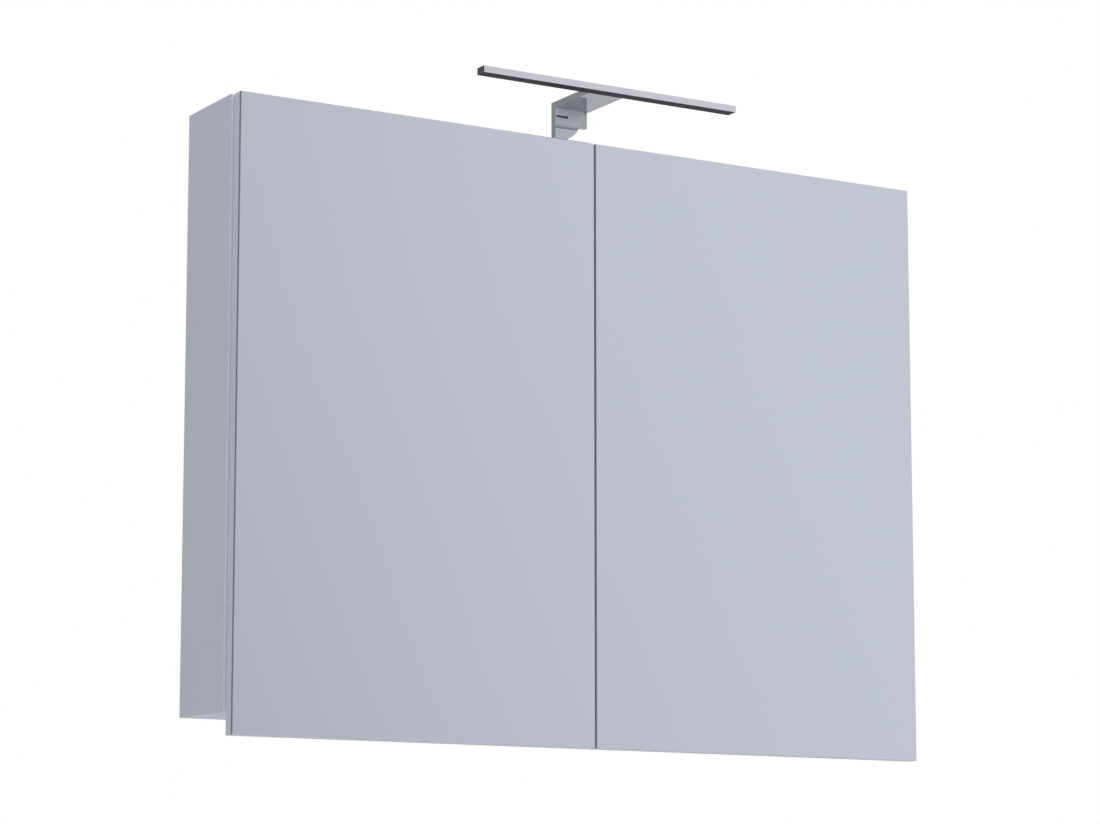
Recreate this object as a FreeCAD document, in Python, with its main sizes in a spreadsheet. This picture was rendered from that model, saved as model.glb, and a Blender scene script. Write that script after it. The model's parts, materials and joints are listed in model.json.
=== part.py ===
import FreeCAD, Part
import math
import os
import re
import Sketcher
from FreeCAD import Placement, Rotation, Vector

# Bathroom mirror cabinet: a two-door wall cabinet with mirror doors on concealed cup hinges and a slim
# lamp on a bracket above it. Millimetres, +X to the right, +Y towards the wall, +Z up. The origin lies on
# the wall, in the middle of the wall plates' hole pattern.

# Driving sizes in millimetres, one cell each.
SIZES = {
    # carcass of melamine-faced board
    "carcass_width": 800,
    "carcass_depth": 96,
    "carcass_height": 594,
    "board": 16,
    "back_board": 3,
    "back_recess": 16,
    "groove_depth": 6,
    "groove_play": 0.15,
    "hang_drop": 60,
    # knock-down fittings and screws of the carcass
    "fitting_play": 0.1,
    "fitting_front": 22,
    "fitting_rear": 40,
    "cam_radius": 7.5,
    "cam_depth": 12.5,
    "cam_inset": 24,
    "bolt_radius": 3,
    "bolt_grip": 11,
    "dowel_radius": 4,
    "dowel_length": 30,
    "dowel_grip": 10,
    "tie_screw_radius": 2.5,
    "tie_screw_length": 50,
    "tie_head_radius": 4.5,
    "tie_head_depth": 2.5,
    # glass shelves on pegs
    "shelf_thick": 5,
    "shelf_setback": 12,
    "shelf_rear_gap": 3,
    "shelf_side_gap": 1.5,
    "shelf_lower": 180,
    "shelf_upper": 370,
    "shelf_step": 32,
    "shelf_round": 2,
    "shelf_arris": 0.5,
    "peg_radius": 2.5,
    "peg_depth": 7.5,
    "peg_reach": 9,
    "peg_wide": 7,
    "peg_thick": 2,
    "peg_front": 26,
    "peg_rear": 16,
    # doors
    "door_gap": 2.5,
    "door_board": 12,
    "mirror_glass": 3,
    "mirror_bevel": 0.5,
    "door_inset": 2.5,
    "door_drop": 0.5,
    "door_overhang": 22.5,
    "door_split": 2,
    "edge_ease": 0.6,
    "bumper_radius": 3,
    "bumper_thick": 2.2,
    "bumper_edge": 3.6,
    "bumper_offset": 235,
    # concealed hinges, measured from the door's outer edge and back face
    "hinge_offset": 200,
    "cup_radius": 13,
    "cup_edge": 3,
    "cup_depth": 10.5,
    "cup_wall": 0.8,
    "cup_play": 0.1,
    "flange_thick": 1,
    "flange_wide": 15,
    "flange_tall": 52,
    "rim_lip": 1.2,
    "cup_screw_pitch": 39,
    "cup_screw_radius": 1.5,
    "cup_screw_head": 3,
    "cup_screw_cap": 0.9,
    "cup_screw_length": 9,
    "pivot_inset": 6.4,
    "pivot_depth": 7.6,
    "pin_radius": 1,
    "pin_length": 14.6,
    "pin_play": 0.05,
    "eye_radius": 1.8,
    "nose_wide": 6.4,
    "nose_thick": 2.2,
    "nose_bend": 2,
    "nose_play": 0.3,
    "neck_gap": 2.8,
    "arm_front": 3.5,
    "arm_length": 52,
    "arm_wide": 14,
    "arm_tall": 7,
    "arm_wall": 1.2,
    "arm_stop": 3,
    "arm_round": 1.5,
    "plate_thick": 3,
    "plate_wide": 18,
    "plate_front": 22,
    "plate_length": 30,
    "wing_thick": 2,
    "wing_length": 13,
    "wing_span": 48,
    "plate_line": 37,
    "plate_screw_pitch": 34,
    "plate_screw_radius": 2,
    "plate_screw_head": 3.5,
    "plate_screw_cap": 2,
    "plate_screw_length": 13,
    "clamp_line": 45,
    "clamp_head": 3.6,
    "clamp_cap": 2.2,
    "clamp_radius": 2,
    "adjuster_line": 29,
    "adjuster_radius": 1.9,
    "adjuster_proud": 0.6,
    # hangers behind the back panel
    "steel": 2,
    "steel_bend": 1.5,
    "wall_plate_inset": 8,
    "wall_plate_wide": 30,
    "wall_hole_pitch": 20,
    "wall_hole_radius": 2.75,
    "wall_plate_end": 10,
    "lip_offset": 3.8,
    "lip_tall": 14,
    "hook_play": 0.2,
    "hook_turn": 8,
    "hook_back": 1.2,
    "hanger_deep": 12,
    "hanger_screw_radius": 1.75,
    "hanger_screw_length": 12,
    "hanger_screw_head": 3.2,
    "hanger_screw_cap": 1.4,
    "hanger_screw_pitch": 20,
    "hanger_screw_line": 9,
    # lamp bar
    "lamp_length": 300,
    "lamp_deep": 14,
    "lamp_tall": 7,
    "lamp_wall": 1.2,
    "lamp_round": 0.8,
    "lamp_reach": 35,
    "lamp_rise": 45,
    "lamp_play": 0.1,
    "cap_thick": 2,
    "cap_plug": 4,
    "diffuser_thick": 1.2,
    "strip_thick": 1,
    "strip_wide": 9,
    "strip_end_gap": 6,
    "chip_size": 3,
    "chip_thick": 0.8,
    "chip_count": 24,
    "bar_screw_radius": 1,
    "bar_screw_head": 1.6,
    "bar_screw_cap": 1,
    "bar_screw_length": 6,
    "bar_screw_pitch": 24,
    # lamp bracket and its base
    "bracket_wide": 40,
    "upright_setback": 27.6,
    "upright_thick": 8,
    "disc_radius": 34.5,
    "collar_tall": 16.5,
    "collar_setback": 3,
    "slot_inset": 1,
    "slot_long": 14.5,
    "slot_high": 2.4,
    "slot_drop": 7.5,
    "slot_deep": 6,
    "cove_drop": 12,
    "step_drop": 21,
    "step_deep": 3.6,
    "foot_wide": 15,
    "foot_rise": 3.5,
    "base_wide": 44,
    "base_lead": 4,
    "base_long": 46,
    "base_round": 4,
    "base_ease": 0.8,
    "base_wall": 1.5,
    "base_plate": 1.2,
    "base_screw_radius": 1.75,
    "base_screw_head": 3.2,
    "base_screw_cap": 1.4,
    "base_screw_length": 12,
    "base_screw_pitch": 30,
    "base_screw_line": 6,
    "foot_screw_radius": 1.25,
    "foot_screw_head": 2.2,
    "foot_screw_cap": 1,
    "foot_screw_pitch": 7,
    "foot_screw_bite": 3,
    "driver_wide": 30,
    "driver_long": 20,
    "driver_tall": 6,
    "driver_round": 2,
    "driver_rear": 12,
    "inlet_radius": 2.5,
    "inlet_tube": 3.3,
    "inlet_flange": 3.9,
    "inlet_rim": 1,
    "inlet_length": 5,
    # how far a cutting tool runs past the face it opens
    "overcut": 1,
}

# Levels and planes that follow from the driving sizes.
RULES = {
    "carcass_top": "hang_drop",
    "carcass_bottom": "hang_drop - carcass_height",
    "carcass_middle": "hang_drop - carcass_height / 2",
    "roof": "carcass_top - board",
    "ground": "carcass_bottom + board",
    "half_width": "carcass_width / 2",
    "side_inner": "carcass_width / 2 - board",
    "back_face": "-back_recess - back_board",
    "door_edge": "carcass_width / 2 - door_inset",
    "door_back": "-carcass_depth - door_gap",
    "glass_back": "door_back - door_board",
    "mirror_front": "glass_back - mirror_glass",
    "door_top": "carcass_top - door_drop",
    "door_bottom": "carcass_bottom - door_overhang",
    "cup_x": "-door_edge + cup_edge + cup_radius",
    "pivot_x": "-door_edge + pivot_inset",
    "pivot_y": "door_back - pivot_depth",
    "plate_top": "-side_inner + plate_thick",
    "neck_x": "-side_inner + neck_gap",
    "arm_top": "plate_top + arm_tall",
    "arm_nose": "-carcass_depth + arm_front",
    "plate_y": "-carcass_depth + plate_line",
    "wall_plate_x": "-side_inner + wall_plate_inset",
    "wall_hole_x": "wall_plate_x + wall_plate_wide / 2",
    "wall_plate_low": "-wall_hole_pitch / 2 - wall_plate_end",
    "ledge": "wall_hole_pitch / 2 + wall_plate_end",
    "lip_top": "ledge + lip_tall",
    "lip_front": "-lip_offset - steel",
    "hook_front": "lip_front - hook_play - steel",
    "lamp_front": "mirror_front - lamp_reach",
    "lamp_rear": "lamp_front + lamp_deep",
    "lamp_middle": "lamp_front + lamp_deep / 2",
    "lamp_bottom": "carcass_top + lamp_rise",
    "lamp_top": "lamp_bottom + lamp_tall",
    "lamp_inner": "lamp_length / 2 - cap_thick",
    "lamp_ceiling": "lamp_top - lamp_wall",
    "upright_front": "-carcass_depth + upright_setback",
    "upright_rear": "upright_front + upright_thick",
    "bracket_left": "-bracket_wide / 2",
    "peg_round": "peg_wide / 3",
    "flange_round": "flange_wide / 3",
    "wing_round": "wing_length / 3",
    "slot_round": "slot_high / 3",
    "cove_radius": "((step_drop - cove_drop)^2 + step_deep^2) / (2 * step_deep)",
    "base_top": "lamp_bottom - disc_radius",
    "base_front": "upright_front - base_lead",
    "base_rear": "base_front + base_long",
    "base_floor": "carcass_top + base_plate",
    "base_ceiling": "base_top - base_wall",
    "inlet_level": "(base_floor + base_ceiling) / 2",
}

SIZE_NAME = re.compile(r"[a-z]+(?:_[a-z]+)*")
SAME_LEVEL = 1e-6
TURNS = {
    "+x": Rotation(Vector(0, 0, 1), Vector(1, 0, 0)),
    "-x": Rotation(Vector(0, 0, 1), Vector(-1, 0, 0)),
    "+y": Rotation(Vector(0, 0, 1), Vector(0, 1, 0)),
    "-y": Rotation(Vector(0, 0, 1), Vector(0, -1, 0)),
    "+z": Rotation(),
    "-z": Rotation(Vector(0, 0, 1), Vector(0, 0, -1)),
}
OPPOSITE = {sign + axis: other + axis for axis in "xyz" for sign, other in ("+-", "-+")}

# Where things stand on the carcass: lines across its depth, levels up its height and the faces of its boards.
FITTING_LINES = {"front": "-carcass_depth + fitting_front", "rear": "-fitting_rear"}
DOWEL_LINE = "(-carcass_depth + fitting_front - fitting_rear) / 2"
PEG_LINES = {"front": "-carcass_depth + peg_front", "rear": "back_face - peg_rear"}
GROOVE_DEPTHS = ("back_face - groove_play", "-back_recess + groove_play")
HINGE_LEVELS = {"upper": "carcass_middle + hinge_offset", "lower": "carcass_middle - hinge_offset"}
SHELF_LEVELS = {"lower": "ground + shelf_lower", "upper": "ground + shelf_upper"}
# inner face, outer face, direction outwards and middle plane of the top and bottom boards
FLATS = {
    "top": ("roof", "carcass_top", "+z", "carcass_top - board / 2"),
    "bottom": ("ground", "carcass_bottom", "-z", "carcass_bottom + board / 2"),
}
# end face of those boards on each side, and the direction into them
ENDS = {"left": ("-side_inner", "+x"), "right": ("side_inner", "-x")}

doc = FreeCAD.newDocument("MirrorCabinet")
sheet = doc.addObject("Spreadsheet::Sheet", "Sizes")
nodes = []


def fill_sheet():
    """One row for each driving size and each rule, with the name as the cell's alias."""
    rows = [(name, str(number)) for name, number in SIZES.items()]
    rows += [(name, "=" + rule) for name, rule in RULES.items()]
    for row, (name, content) in enumerate(rows, 1):
        sheet.set(f"A{row}", name)
        sheet.set(f"B{row}", content)
        sheet.setAlias(f"B{row}", name)
    doc.recompute()


def linked(text):
    """A formula in plain size names, with each name pointed at its cell."""
    def cell(word):
        name = word.group()
        return "Sizes." + name if name in SIZES or name in RULES else name
    return SIZE_NAME.sub(cell, str(text))


def value(text):
    """The number that a formula gives now."""
    return float(sheet.evalExpression(linked(text)))


def place(piece, x, y, z, turn=Rotation()):
    """Set a piece at a point given by formulas."""
    piece.Placement = Placement(Vector(), turn)
    for axis, text in zip("xyz", (x, y, z)):
        piece.setExpression("Placement.Base." + axis, linked(text))


def box(name, x, y, z):
    """A block between the low and high formulas on each axis."""
    piece = doc.addObject("Part::Box", name)
    for side, (low, high) in zip(("Length", "Width", "Height"), (x, y, z)):
        piece.setExpression(side, linked(f"({high}) - ({low})"))
    place(piece, x[0], y[0], z[0])
    return piece


def rod(name, radius, length, start, along):
    """A round bar from its start point along one direction."""
    piece = doc.addObject("Part::Cylinder", name)
    piece.setExpression("Radius", linked(radius))
    piece.setExpression("Height", linked(length))
    place(piece, *start, TURNS[along])
    return piece


def group(name, pieces):
    """Separate solids kept together under one name."""
    piece = doc.addObject("Part::Compound", name)
    piece.Links = pieces
    return piece


def fuse(name, pieces):
    """Solids joined into one."""
    piece = doc.addObject("Part::MultiFuse", name)
    piece.Shapes = pieces
    piece.Refine = True
    return piece


def cut(name, base, tools):
    """A solid with tools taken away from it."""
    piece = doc.addObject("Part::Cut", name)
    piece.Base = base
    piece.Tool = tools[0] if len(tools) == 1 else group(name + "_tools", tools)
    piece.Refine = True
    return piece


def common(name, base, tool):
    """What two solids share."""
    piece = doc.addObject("Part::Common", name)
    piece.Base = base
    piece.Tool = tool
    return piece


def mirrored(name, source):
    """The right-hand twin of a left-hand piece."""
    piece = doc.addObject("Part::Mirroring", name)
    piece.Source = source
    piece.Normal = Vector(1, 0, 0)
    return piece


def keep(label, piece):
    """Name a finished sub-part and put it on the list to write."""
    piece.Label = label
    nodes.append(piece)
    return piece


def keep_pair(label, left):
    """Keep a left-hand sub-part and its mirror image on the right."""
    keep(label + "_left", left)
    keep(label + "_right", mirrored(label + "_twin", left))


def arc_between(start, end, radius):
    """The short arc from start to end: turning left for a positive radius, right for a negative one."""
    across = end - start
    middle = (start + end) / 2
    rise = math.sqrt(max(radius * radius - across.Length ** 2 / 4, 0))
    side = 1 if radius > 0 else -1
    centre = middle + Vector(-across.y, across.x, 0).normalize() * rise * side
    first, last = (start, end) if radius > 0 else (end, start)
    angles = [math.atan2(point.y - centre.y, point.x - centre.x) for point in (first, last)]
    return Part.ArcOfCircle(Part.Circle(centre, Vector(0, 0, 1), abs(radius)), *angles)


def draw(sketch, corners):
    """A closed outline whose corners are formulas; a third entry makes the run to the next corner an arc."""
    points = [Vector(value(corner[0]), value(corner[1]), 0) for corner in corners]
    ends = []
    for number, corner in enumerate(corners):
        start, end = points[number], points[(number + 1) % len(points)]
        if len(corner) == 3:
            radius = value(corner[2])
            edge = sketch.addGeometry(arc_between(start, end, radius))
            limit = sketch.addConstraint(Sketcher.Constraint("Radius", edge, abs(radius)))
            sketch.setExpression(f"Constraints[{limit}]", linked(f"abs({corner[2]})"))
            ends.append((edge, 1, 2) if radius > 0 else (edge, 2, 1))
        else:
            ends.append((sketch.addGeometry(Part.LineSegment(start, end)), 1, 2))
    for number, (edge, _, last) in enumerate(ends):
        follower, follower_first, _ = ends[(number + 1) % len(ends)]
        sketch.addConstraint(Sketcher.Constraint("Coincident", edge, last, follower, follower_first))
    for corner, point, (edge, first, _) in zip(corners, points, ends):
        for kind, text, number in (("DistanceX", corner[0], point.x), ("DistanceY", corner[1], point.y)):
            limit = sketch.addConstraint(Sketcher.Constraint(kind, -1, 1, edge, first, number))
            sketch.setExpression(f"Constraints[{limit}]", linked(text))


def profile(name, plane, corners, low, high):
    """A body made by padding an outline from low to high along the plane's normal."""
    body = doc.addObject("PartDesign::Body", name)
    sketch = body.newObject("Sketcher::SketchObject", name + "_outline")
    support = next(item for item in body.Origin.OriginFeatures if item.Role == plane)
    sketch.AttachmentSupport = (support, [""])
    sketch.MapMode = "FlatFace"
    sketch.setExpression("AttachmentOffset.Base.z", linked(low))
    draw(sketch, corners)
    pad = body.newObject("PartDesign::Pad", name + "_pad")
    pad.Profile = sketch
    pad.setExpression("Length", linked(f"({high}) - ({low})"))
    return body


def eased(faces, edge, inward, far):
    """The outline of a board between two faces, with both corners of one edge broken by a small chamfer."""
    near, other = faces
    step = f"{edge} {inward} edge_ease"
    return [(near, far), (other, far), (other, step), (f"{other} - edge_ease", edge),
            (f"{near} + edge_ease", edge), (near, step)]


def rounded(across, up, radius, square=()):
    """The outline of a rectangle, anticlockwise, with round corners except the ones named as square."""
    (left, right), (low, high) = across, up
    inset = f"({radius})"
    corners = {
        "low left": ((left, low), (left, f"{low} + {inset}", radius), (f"{left} + {inset}", low)),
        "low right": ((right, low), (f"{right} - {inset}", low, radius), (right, f"{low} + {inset}")),
        "high right": ((right, high), (right, f"{high} - {inset}", radius), (f"{right} - {inset}", high)),
        "high left": ((left, high), (f"{left} + {inset}", high, radius), (left, f"{high} - {inset}")),
    }
    outline = []
    for name, (sharp, *curve) in corners.items():
        outline += [sharp] if name in square else curve
    return outline


def bevel(body, size, axis, *levels):
    """Chamfer every edge of a body that lies in one of the level planes."""
    doc.recompute()
    blank = body.Tip
    heights = [value(level) for level in levels]
    edges = [f"Edge{number}" for number, edge in enumerate(blank.Shape.Edges, 1)
             if any(all(abs(getattr(corner.Point, axis) - height) < SAME_LEVEL for corner in edge.Vertexes)
                    for height in heights)]
    chamfer = body.newObject("PartDesign::Chamfer", body.Name + "_bevel")
    chamfer.Base = (blank, edges)
    chamfer.setExpression("Size", linked(size))


def moved(point, along, distance):
    """A point carried a distance along one direction."""
    axis = "xyz".index(along[1])
    parts = list(point)
    parts[axis] = f"{parts[axis]} {along[0]} ({distance})"
    return tuple(parts)


def in_order(along, start, end):
    """The low and high end of a span that is given by its start and end along one direction."""
    return (start, end) if along[0] == "+" else (end, start)


def drill(name, radius, depth, mouth, along):
    """The tool for a round hole: it starts before the mouth and runs to a depth behind it."""
    return rod(name, radius, f"{depth} + overcut", moved(mouth, OPPOSITE[along], "overcut"), along)


def drill_through(name, radius, thick, mouth, along):
    """The tool for a round hole that comes out on the far side."""
    return drill(name, radius, f"{thick} + overcut", mouth, along)


def screw(name, head, cap, shank, length, seat, along):
    """A pan-head screw: the head's underside lies on the seat and the shank runs along one direction."""
    return fuse(name, [rod(name + "_head", head, cap, seat, OPPOSITE[along]),
                       rod(name + "_shank", shank, length, seat, along)])


def peg_level(shelf):
    """Height of a peg's axis under a shelf."""
    return f"{SHELF_LEVELS[shelf]} - peg_radius"


def peg_hole_places():
    """Name, line and level of each peg hole: a row of three for each shelf on each line."""
    for shelf in SHELF_LEVELS:
        for line, y in PEG_LINES.items():
            for step in (-1, 0, 1):
                yield f"{shelf}_{line}_{step + 1}", y, f"{peg_level(shelf)} + ({step}) * shelf_step"


def side_panels():
    """Side boards with the groove for the back panel and the holes for every fitting that they take."""
    outline = eased(("-half_width", "-side_inner"), "-carcass_depth", "+", "0")
    board = profile("side_board", "XY_Plane", outline, "carcass_bottom", "carcass_top")
    tools = [box("side_groove", ("-side_inner - groove_depth", "-side_inner + overcut"), GROOVE_DEPTHS,
                 ("ground - groove_depth", "roof + groove_depth"))]

    def hole(name, radius, depth, y, z):
        tools.append(drill("side_" + name, f"{radius} + fitting_play", f"{depth} + fitting_play",
                           ("-side_inner", y, z), "-x"))

    for flat, (_, _, _, middle) in FLATS.items():
        for line, y in FITTING_LINES.items():
            hole(f"bolt_hole_{flat}_{line}", "bolt_radius", "bolt_grip", y, middle)
        hole(f"dowel_hole_{flat}", "dowel_radius", "dowel_grip", DOWEL_LINE, middle)
    for name, y, z in peg_hole_places():
        hole(f"peg_hole_{name}", "peg_radius", "peg_depth", y, z)
    for sign in "+-":
        for name, level in HINGE_LEVELS.items():
            hole(f"plate_hole_{name}_{sign}", "plate_screw_radius", "plate_screw_length - wing_thick",
                 "plate_y", f"{level} {sign} plate_screw_pitch / 2")
        hole(f"hanger_hole_{sign}", "hanger_screw_radius", "hanger_screw_length",
             "-hanger_screw_line", f"{sign}hanger_screw_pitch / 2")
    keep_pair("side_panel", cut("side_panel_cut", board, tools))


def flat_panel(name):
    """Top or bottom board, with the tools for its groove, its end fittings and the partition's screws."""
    inner, outer, outward, middle = FLATS[name]
    inward = OPPOSITE[outward]
    outline = [(y, z) for z, y in eased(in_order(outward, inner, outer), "-carcass_depth", "+", "0")]
    board = profile(name + "_board", "YZ_Plane", outline, "-side_inner", "side_inner")
    tools = [box(name + "_groove", ("-side_inner - overcut", "side_inner + overcut"), GROOVE_DEPTHS,
                 in_order(outward, f"{inner} {inward[0]} overcut", f"{inner} {outward[0]} groove_depth"))]
    for side, (end, along) in ENDS.items():
        for line, y in FITTING_LINES.items():
            tools.append(fuse(f"{name}_cam_bore_{side}_{line}", [
                drill(f"{name}_cam_hole_{side}_{line}", "cam_radius + fitting_play", "cam_depth",
                      (f"{end} {along[0]} cam_inset", y, inner), outward),
                drill(f"{name}_bolt_hole_{side}_{line}", "bolt_radius + fitting_play", "cam_inset",
                      (end, y, middle), along)]))
        tools.append(drill(f"{name}_dowel_hole_{side}", "dowel_radius + fitting_play",
                           "dowel_length - dowel_grip + fitting_play", (end, DOWEL_LINE, middle), along))
    for line, y in FITTING_LINES.items():
        mouth = ("0", y, outer)
        tools.append(fuse(f"{name}_tie_bore_{line}", [
            drill_through(f"{name}_tie_hole_{line}", "tie_screw_radius + fitting_play", "board",
                          mouth, inward),
            drill(f"{name}_tie_sink_{line}", "tie_head_radius + fitting_play", "tie_head_depth",
                  mouth, inward)]))
    return board, tools


def top_and_bottom():
    """Boards between the sides; the top one also takes the screws of the lamp's base."""
    board, tools = flat_panel("top")
    for sign in "+-":
        mouth = (f"{sign}base_screw_pitch / 2", "base_rear - base_screw_line", "carcass_top")
        tools.append(drill(f"top_lamp_hole_{sign}", "base_screw_radius + fitting_play",
                           "base_screw_length - base_plate + fitting_play", mouth, "-z"))
    keep("top_panel", cut("top_panel_cut", board, tools))
    board, tools = flat_panel("bottom")
    keep("bottom_panel", cut("bottom_panel_cut", board, tools))


def back_and_partition():
    """Thin back panel held in the grooves, and the partition that the doors meet on."""
    reach = "groove_depth - groove_play"
    keep("back_panel", box("back_sheet", (f"-side_inner - ({reach})", f"side_inner + {reach}"),
                           ("back_face", "-back_recess"), (f"ground - ({reach})", f"roof + {reach}")))
    board = profile("partition_board", "XY_Plane",
                    eased(("-board / 2", "board / 2"), "-carcass_depth", "+", "back_face"), "ground", "roof")
    tools = [drill_through(f"partition_peg_hole_{name}", "peg_radius + fitting_play", "board",
                           ("-board / 2", y, z), "+x") for name, y, z in peg_hole_places()]
    for flat, (inner, _, outward, _) in FLATS.items():
        for line, y in FITTING_LINES.items():
            tools.append(drill(f"partition_{flat}_hole_{line}", "tie_screw_radius + fitting_play",
                               "tie_screw_length - board + fitting_play", ("0", y, inner), OPPOSITE[outward]))
    keep("centre_partition", cut("partition_cut", board, tools))


def carcass_fittings():
    """Cams, bolts, dowels and tie screws that pull the carcass together."""
    cams, bolts, dowels, ties = [], [], [], []
    for flat, (inner, outer, outward, middle) in FLATS.items():
        inward = OPPOSITE[outward]
        for side, (end, along) in ENDS.items():
            for line, y in FITTING_LINES.items():
                spot = f"{flat}_{side}_{line}"
                cams.append(rod(f"cam_{spot}", "cam_radius", "cam_depth",
                                (f"{end} {along[0]} cam_inset", y, inner), outward))
                bolts.append(rod(f"bolt_{spot}", "bolt_radius",
                                 "bolt_grip + cam_inset - cam_radius - fitting_play",
                                 moved((end, y, middle), OPPOSITE[along], "bolt_grip"), along))
            dowels.append(rod(f"dowel_{flat}_{side}", "dowel_radius", "dowel_length",
                              moved((end, DOWEL_LINE, middle), OPPOSITE[along], "dowel_grip"), along))
        for line, y in FITTING_LINES.items():
            ties.append(screw(f"tie_{flat}_{line}", "tie_head_radius", "tie_head_depth", "tie_screw_radius",
                              "tie_screw_length - tie_head_depth",
                              moved(("0", y, outer), inward, "tie_head_depth"), inward))
    keep("cam_locks", group("cam_group", cams))
    keep("cam_bolts", group("bolt_group", bolts))
    keep("wooden_dowels", group("dowel_group", dowels))
    keep("partition_screws", group("tie_group", ties))


def shelves():
    """Two glass shelves in each bay, each on four spoon pegs."""
    pegs = []
    walls = {"side": ("-side_inner", "+x", "left"), "partition": ("-board / 2", "-x", "right")}
    for shelf, level in SHELF_LEVELS.items():
        top = f"{level} + shelf_thick"
        outline = rounded(("-side_inner + shelf_side_gap", "-board / 2 - shelf_side_gap"),
                          ("-carcass_depth + shelf_setback", "back_face - shelf_rear_gap"), "shelf_round")
        glass = profile(f"glass_{shelf}", "XY_Plane", outline, level, top)
        bevel(glass, "shelf_arris", "z", level, top)
        keep_pair(f"glass_shelf_{shelf}", glass)
        for line, y in PEG_LINES.items():
            for wall, (face, along, root) in walls.items():
                name = f"peg_{shelf}_{line}_{wall}"
                shank = rod(name + "_shank", "peg_radius", "peg_depth",
                            moved((face, y, peg_level(shelf)), OPPOSITE[along], "peg_depth"), along)
                spoon = profile(name + "_spoon", "XY_Plane", rounded(
                    in_order(along, face, f"{face} {along[0]} peg_reach"),
                    (f"{y} - peg_wide / 2", f"{y} + peg_wide / 2"), "peg_round",
                    square=(f"low {root}", f"high {root}")), f"{level} - peg_thick", level)
                pegs.append(fuse(name, [shank, spoon]))
    twins = [mirrored(peg.Name + "_twin", peg) for peg in pegs]
    keep("shelf_pegs", group("peg_group", pegs + twins))


def doors():
    """Mirror glass bonded to a board, with bores for the hinge cups and soft stops on the back."""
    left, right = "-door_edge", "-door_split / 2"
    board = profile("door_slab", "XY_Plane", eased((left, right), "door_back", "-", "glass_back"),
                    "door_bottom", "door_top")
    tools = []
    for name, level in HINGE_LEVELS.items():
        tools.append(drill(f"cup_bore_{name}", "cup_radius + cup_play", "cup_depth + cup_play",
                           ("cup_x", "door_back", level), "-y"))
        for sign in "+-":
            tools.append(drill(f"cup_screw_hole_{name}_{sign}", "cup_screw_radius + fitting_play",
                               "cup_screw_length - flange_thick + fitting_play",
                               ("cup_x", "door_back", f"{level} {sign} cup_screw_pitch / 2"), "-y"))
    keep_pair("door_board", cut("door_board_cut", board, tools))
    glass = profile("mirror_sheet", "XY_Plane", [
        (left, "mirror_front"), (right, "mirror_front"), (right, "glass_back"), (left, "glass_back")],
        "door_bottom", "door_top")
    bevel(glass, "mirror_bevel", "y", "mirror_front")
    keep_pair("mirror_glass", glass)
    bumpers = []
    for sign in "+-":
        foot = (f"{right} - bumper_edge", "door_back", f"carcass_middle {sign} bumper_offset")
        bumpers.append(rod(f"bumper_{sign}", "bumper_radius", "bumper_thick", foot, "+y"))
    keep_pair("door_bumpers", group("bumper_pair", bumpers))


def hinge_cup(name, level):
    """A pressed cup with a screw flange, and two bosses that hold the pivot pin."""
    middle = ("cup_x", "door_back", level)
    flange = rounded(("cup_x - flange_wide / 2", "cup_x + flange_wide / 2"),
                     (f"{level} - flange_tall / 2", f"{level} + flange_tall / 2"), "flange_round")
    shell = fuse(f"cup_shell_{name}", [
        rod(f"cup_wall_{name}", "cup_radius", "cup_depth", middle, "-y"),
        rod(f"cup_rim_{name}", "cup_radius + rim_lip", "flange_thick", middle, "+y"),
        profile(f"cup_flange_{name}", "XZ_Plane", flange, "-door_back - flange_thick", "-door_back")])
    hollow = drill(f"cup_hollow_{name}", "cup_radius - cup_wall", "flange_thick + cup_depth - cup_wall",
                   moved(middle, "+y", "flange_thick"), "-y")
    screw_holes = []
    for sign in "+-":
        mouth = ("cup_x", "door_back", f"{level} {sign} cup_screw_pitch / 2")
        screw_holes.append(drill_through(f"flange_hole_{name}_{sign}", "cup_screw_radius + fitting_play",
                                         "flange_thick", mouth, "+y"))
    pressed = cut(f"cup_pressed_{name}", shell, [hollow] + screw_holes)
    core = rod(f"cup_core_{name}", "cup_radius - cup_wall / 2", "cup_depth - cup_wall / 2", middle, "-y")
    inner, outer = "nose_wide / 2 + nose_play", "cup_radius"
    bosses = []
    for word, low, high in (("upper", f"{level} + {inner}", f"{level} + {outer}"),
                            ("lower", f"{level} - {outer}", f"{level} - ({inner})")):
        block = box(f"boss_block_{name}_{word}", ("cup_x - cup_radius", "pivot_x + eye_radius"),
                    ("door_back - cup_depth", "pivot_y + eye_radius"), (low, high))
        bosses.append(common(f"boss_{name}_{word}", block, core))
    filled = fuse(f"cup_filled_{name}", [pressed] + bosses)
    pin_hole = rod(f"cup_pin_hole_{name}", "pin_radius + pin_play", "pin_length",
                   ("pivot_x", "pivot_y", f"{level} - pin_length / 2"), "+z")
    return cut(f"cup_{name}", filled, [pin_hole])


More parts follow.
